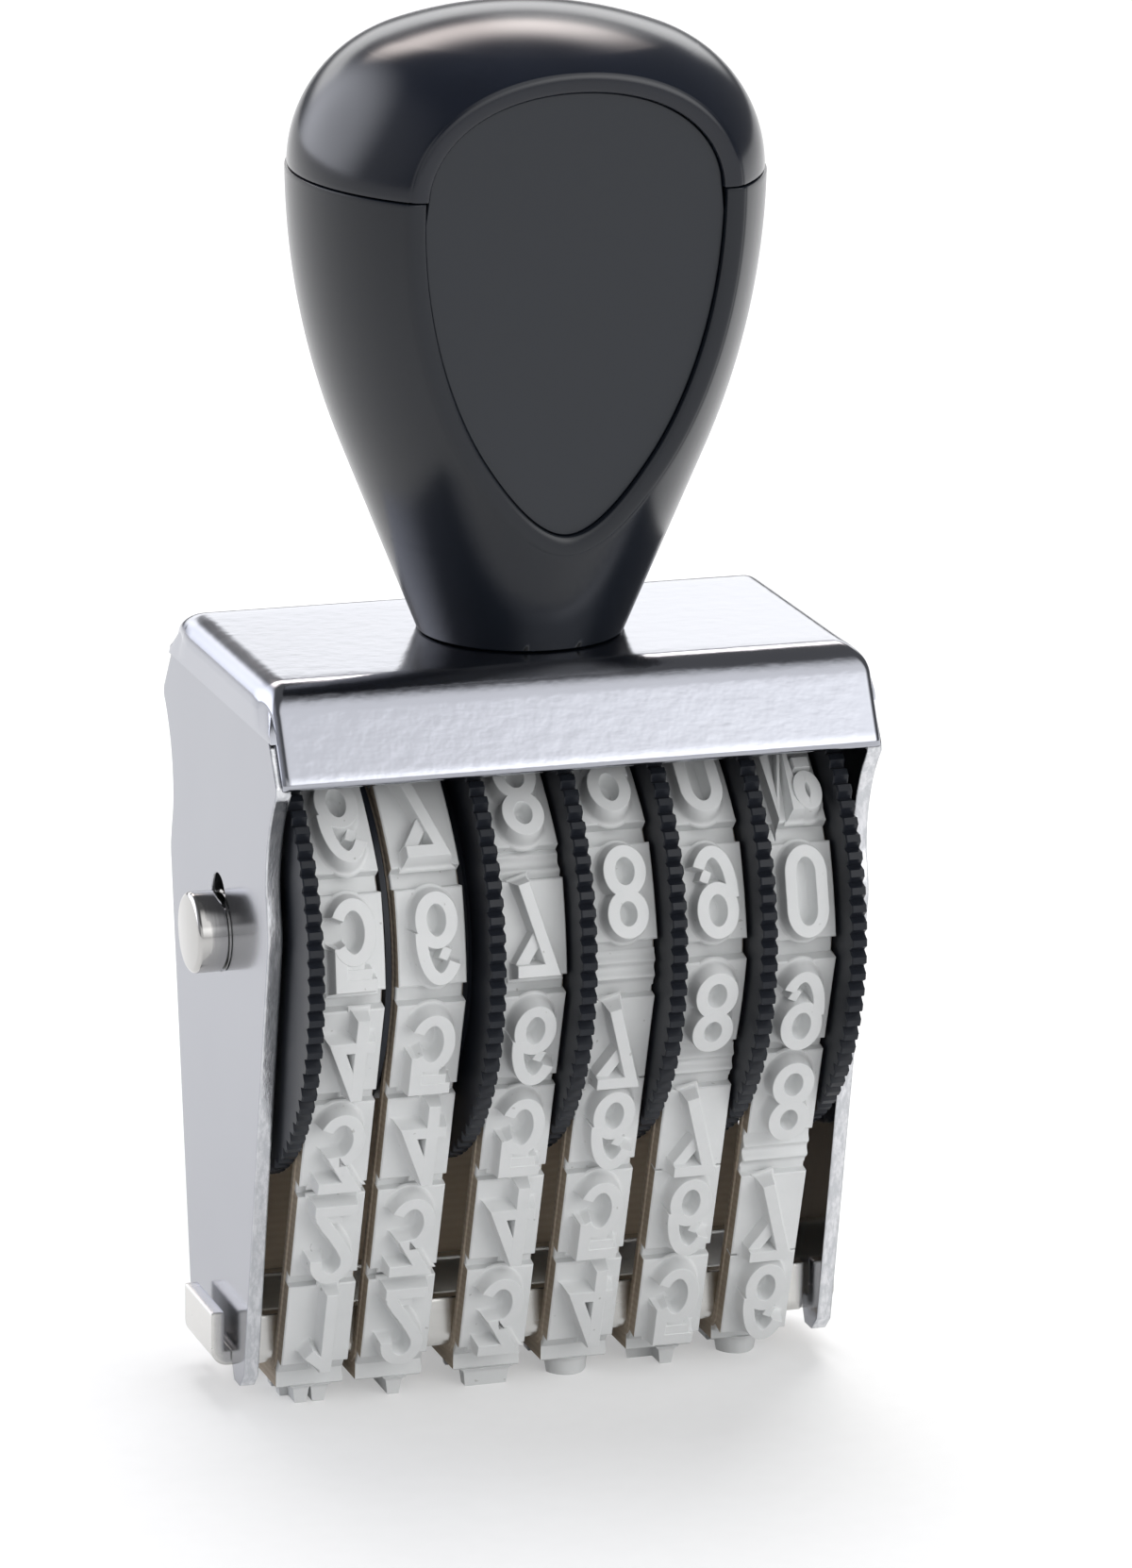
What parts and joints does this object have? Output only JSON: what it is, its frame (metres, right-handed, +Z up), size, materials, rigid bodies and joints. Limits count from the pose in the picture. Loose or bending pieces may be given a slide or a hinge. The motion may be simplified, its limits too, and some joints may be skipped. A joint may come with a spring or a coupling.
{
  "type": "number stamp",
  "caption": "Hand stamp with a black plastic handle on a bent steel frame, whose serrated wheels turn endless rubber type bands over a printing bridge.",
  "frame": {"origin": "on the printing face, under the middle of the handle", "axes": "+X along the wheel axle to the right, +Y to the back, +Z up along the handle"},
  "size_m": [0.037, 0.0264, 0.0754],
  "materials": {
    "plated_sheet": "bright nickel plate on pressed sheet, fine grain",
    "bridge_steel": "bright nickel plate on bent strip",
    "axle_steel": "polished nickel plate on a turned pin",
    "band_rubber": "pale grey moulded rubber with tan cut edges",
    "wheel_plastic": "matte black moulded plastic",
    "grip_plastic": "satin gloss black moulded plastic",
    "cap_plastic": "high gloss black moulded plastic",
    "badge_plate": "satin dark grey plate",
    "fixing_steel": "zinc plate",
    "insert_brass": "turned and knurled"
  },
  "bodies": {
    "stamp": {"frame": "plated_sheet", "bridge": "bridge_steel", "axle": "axle_steel", "type_band_1": "band_rubber", "type_band_2": "band_rubber", "type_band_3": "band_rubber", "type_band_4": "band_rubber", "type_band_5": "band_rubber", "type_band_6": "band_rubber", "handle_grip": "grip_plastic", "handle_cap": "cap_plastic", "badge": "badge_plate", "handle_screw": "fixing_steel", "screw_washer": "fixing_steel", "threaded_insert": "insert_brass"},
    "wheel_1": {"number_wheel_1": "wheel_plastic"},
    "wheel_2": {"number_wheel_2": "wheel_plastic"},
    "wheel_3": {"number_wheel_3": "wheel_plastic"},
    "wheel_4": {"number_wheel_4": "wheel_plastic"},
    "wheel_5": {"number_wheel_5": "wheel_plastic"},
    "wheel_6": {"number_wheel_6": "wheel_plastic"}
  },
  "joints": [
    {"name": "wheel_1_turn", "type": "hinge", "parent": "stamp", "child": "wheel_1", "pos_m": [0, 0, 0.02595], "axis": [1, 0, 0], "continuous": true},
    {"name": "wheel_2_turn", "type": "hinge", "parent": "stamp", "child": "wheel_2", "pos_m": [0, 0, 0.02595], "axis": [1, 0, 0], "continuous": true},
    {"name": "wheel_3_turn", "type": "hinge", "parent": "stamp", "child": "wheel_3", "pos_m": [0, 0, 0.02595], "axis": [1, 0, 0], "continuous": true},
    {"name": "wheel_4_turn", "type": "hinge", "parent": "stamp", "child": "wheel_4", "pos_m": [0, 0, 0.02595], "axis": [1, 0, 0], "continuous": true},
    {"name": "wheel_5_turn", "type": "hinge", "parent": "stamp", "child": "wheel_5", "pos_m": [0, 0, 0.02595], "axis": [1, 0, 0], "continuous": true},
    {"name": "wheel_6_turn", "type": "hinge", "parent": "stamp", "child": "wheel_6", "pos_m": [0, 0, 0.02595], "axis": [1, 0, 0], "continuous": true}
  ]
}
